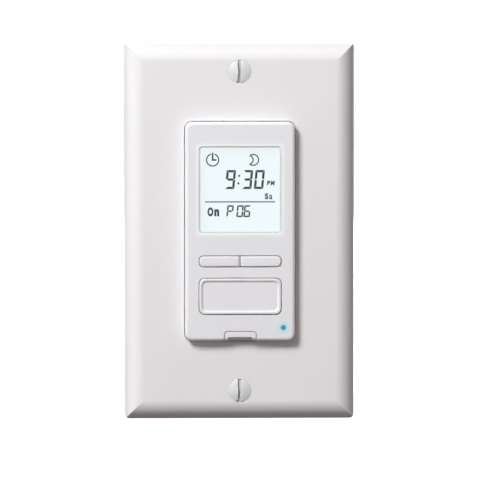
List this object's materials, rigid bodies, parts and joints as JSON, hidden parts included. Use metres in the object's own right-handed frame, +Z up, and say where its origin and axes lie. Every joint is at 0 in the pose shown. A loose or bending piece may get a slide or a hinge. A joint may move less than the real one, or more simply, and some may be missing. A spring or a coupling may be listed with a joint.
{
  "type": "timer light switch",
  "caption": "Single-gang in-wall timer switch: bevelled wall plate, proud front with a display, a button pair, a dished on/off button, a status light and a pull tab.",
  "frame": {"origin": "middle of the two box screws, on the wall plane where the wall plate's rim rests", "axes": "+Z up, -Y out of the wall towards the room, +Y into the wall box, +X to the viewer's right"},
  "size_m": [0.0698, 0.0392, 0.1142],
  "materials": {
    "plate_plastic": "satin moulded",
    "face_plastic": "satin moulded",
    "button_plastic": "satin moulded",
    "white_screw": "glossy paint",
    "strap_steel": "zinc plated",
    "screw_steel": "zinc plated",
    "washer_fibre": "pressed fibre",
    "window_clear": "polished",
    "display_glass": "polished",
    "holder_plastic": "moulded",
    "diffuser_plastic": "frosted",
    "strip_rubber": "matte",
    "board_green": "solder mask",
    "chip_black": "moulded",
    "plunger_plastic": "moulded",
    "cell_steel": "nickel plated",
    "sheet_film": "film",
    "light_blue": "clear tinted",
    "lamp_epoxy": "lit",
    "terminal_brass": "stamped",
    "clamp_steel": "zinc plated",
    "ground_green": "lacquered",
    "housing_plastic": "moulded",
    "relay_plastic": "moulded",
    "film_epoxy": "moulded",
    "bobbin_plastic": "moulded",
    "winding_copper": "enamelled",
    "sleeve_film": "shrink sleeve",
    "disc_ceramic": "coated"
  },
  "bodies": {
    "timer": {"wall_plate": "plate_plastic", "front_bezel": "face_plastic", "plate_screws": "white_screw", "mounting_strap": "strap_steel", "mounting_screws": "screw_steel", "strap_screws": "screw_steel", "retaining_washers": "washer_fibre", "display_window": "window_clear", "display_panel": "display_glass", "display_holder": "holder_plastic", "display_backlight": "diffuser_plastic", "contact_strips": "strip_rubber", "control_board": "board_green", "power_board": "board_green", "controller_chip": "chip_black", "board_header": "chip_black", "switch_cases": "chip_black", "backup_cell": "cell_steel", "cell_clip": "cell_steel", "insulating_sheet": "sheet_film", "status_light_pipe": "light_blue", "status_lamp": "lamp_epoxy", "line_terminal": "terminal_brass", "neutral_terminal": "terminal_brass", "load_terminal": "terminal_brass", "traveler_terminal": "terminal_brass", "air_gap_contacts": "terminal_brass", "terminal_screws": "terminal_brass", "clamp_plates": "clamp_steel", "ground_washer": "clamp_steel", "ground_screw": "ground_green", "rear_housing": "housing_plastic", "relay": "relay_plastic", "film_capacitor": "film_epoxy", "coil_bobbin": "bobbin_plastic", "coil_winding": "winding_copper", "filter_capacitors": "sleeve_film", "surge_disc": "disc_ceramic"},
    "left_button": {"left_button": "button_plastic", "left_plunger": "plunger_plastic"},
    "right_button": {"right_button": "button_plastic", "right_plunger": "plunger_plastic"},
    "on_off_button": {"on_off_button": "button_plastic", "on_off_plunger": "plunger_plastic"},
    "service_tab": {"service_tab": "button_plastic", "bridge_contact": "terminal_brass"}
  },
  "joints": [
    {"name": "left_button_press", "type": "slide", "parent": "timer", "child": "left_button", "axis": [0, 1, 0], "range_m": [0, 0.0005], "stiffness_N_per_m": 1500},
    {"name": "right_button_press", "type": "slide", "parent": "timer", "child": "right_button", "axis": [0, 1, 0], "range_m": [0, 0.0005], "stiffness_N_per_m": 1500},
    {"name": "on_off_button_press", "type": "slide", "parent": "timer", "child": "on_off_button", "axis": [0, 1, 0], "range_m": [0, 0.0007], "stiffness_N_per_m": 1500},
    {"name": "service_tab_pull", "type": "slide", "parent": "timer", "child": "service_tab", "axis": [0, -1, 0], "range_m": [0, 0.003]}
  ]
}
